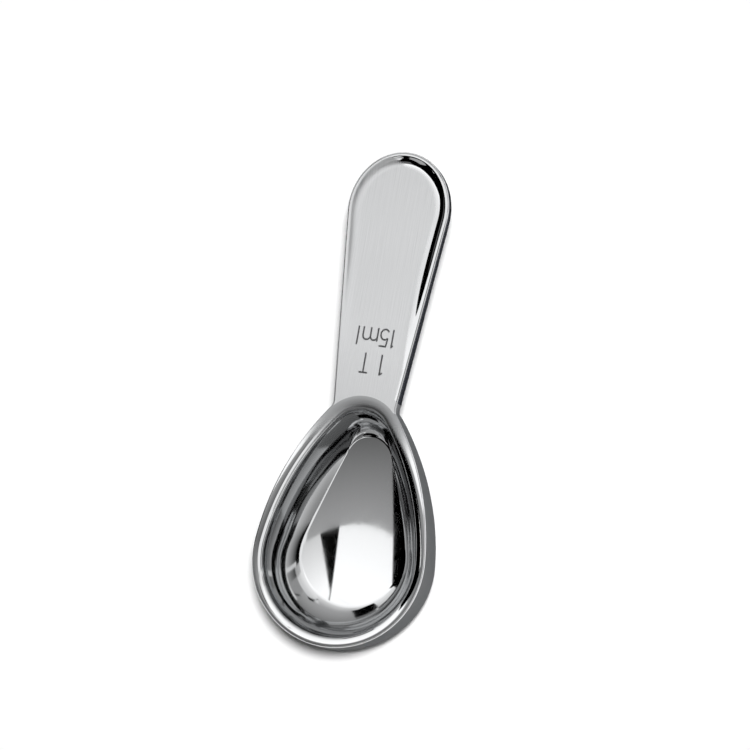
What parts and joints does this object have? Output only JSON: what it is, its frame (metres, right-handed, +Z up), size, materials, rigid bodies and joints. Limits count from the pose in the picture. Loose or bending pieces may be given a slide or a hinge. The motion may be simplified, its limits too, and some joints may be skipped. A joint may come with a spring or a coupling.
{
  "type": "coffee measuring spoon",
  "caption": "Short stainless steel coffee measuring spoon: a thick-walled egg-shaped bowl on a flat base, polished inside, and a brushed plate handle with a dished panel and a raised border.",
  "frame": {"origin": "point under the middle of the bowl's floor, on the flat base that the spoon stands on", "axes": "+Y along the handle, from the bowl's tip to the handle's end; +Z up, square to the rim; +X to the right"},
  "size_m": [0.041, 0.1164, 0.0135],
  "materials": {
    "polished_steel": "stainless steel, polished to a mirror inside and on the rim, satin outside",
    "brushed_steel": "stainless steel, brushed along the handle",
    "weld_steel": "stainless steel weld, ground flush"
  },
  "bodies": {
    "root": {"bowl": "polished_steel", "handle": "brushed_steel", "weld_seam": "weld_steel"}
  },
  "joints": []
}
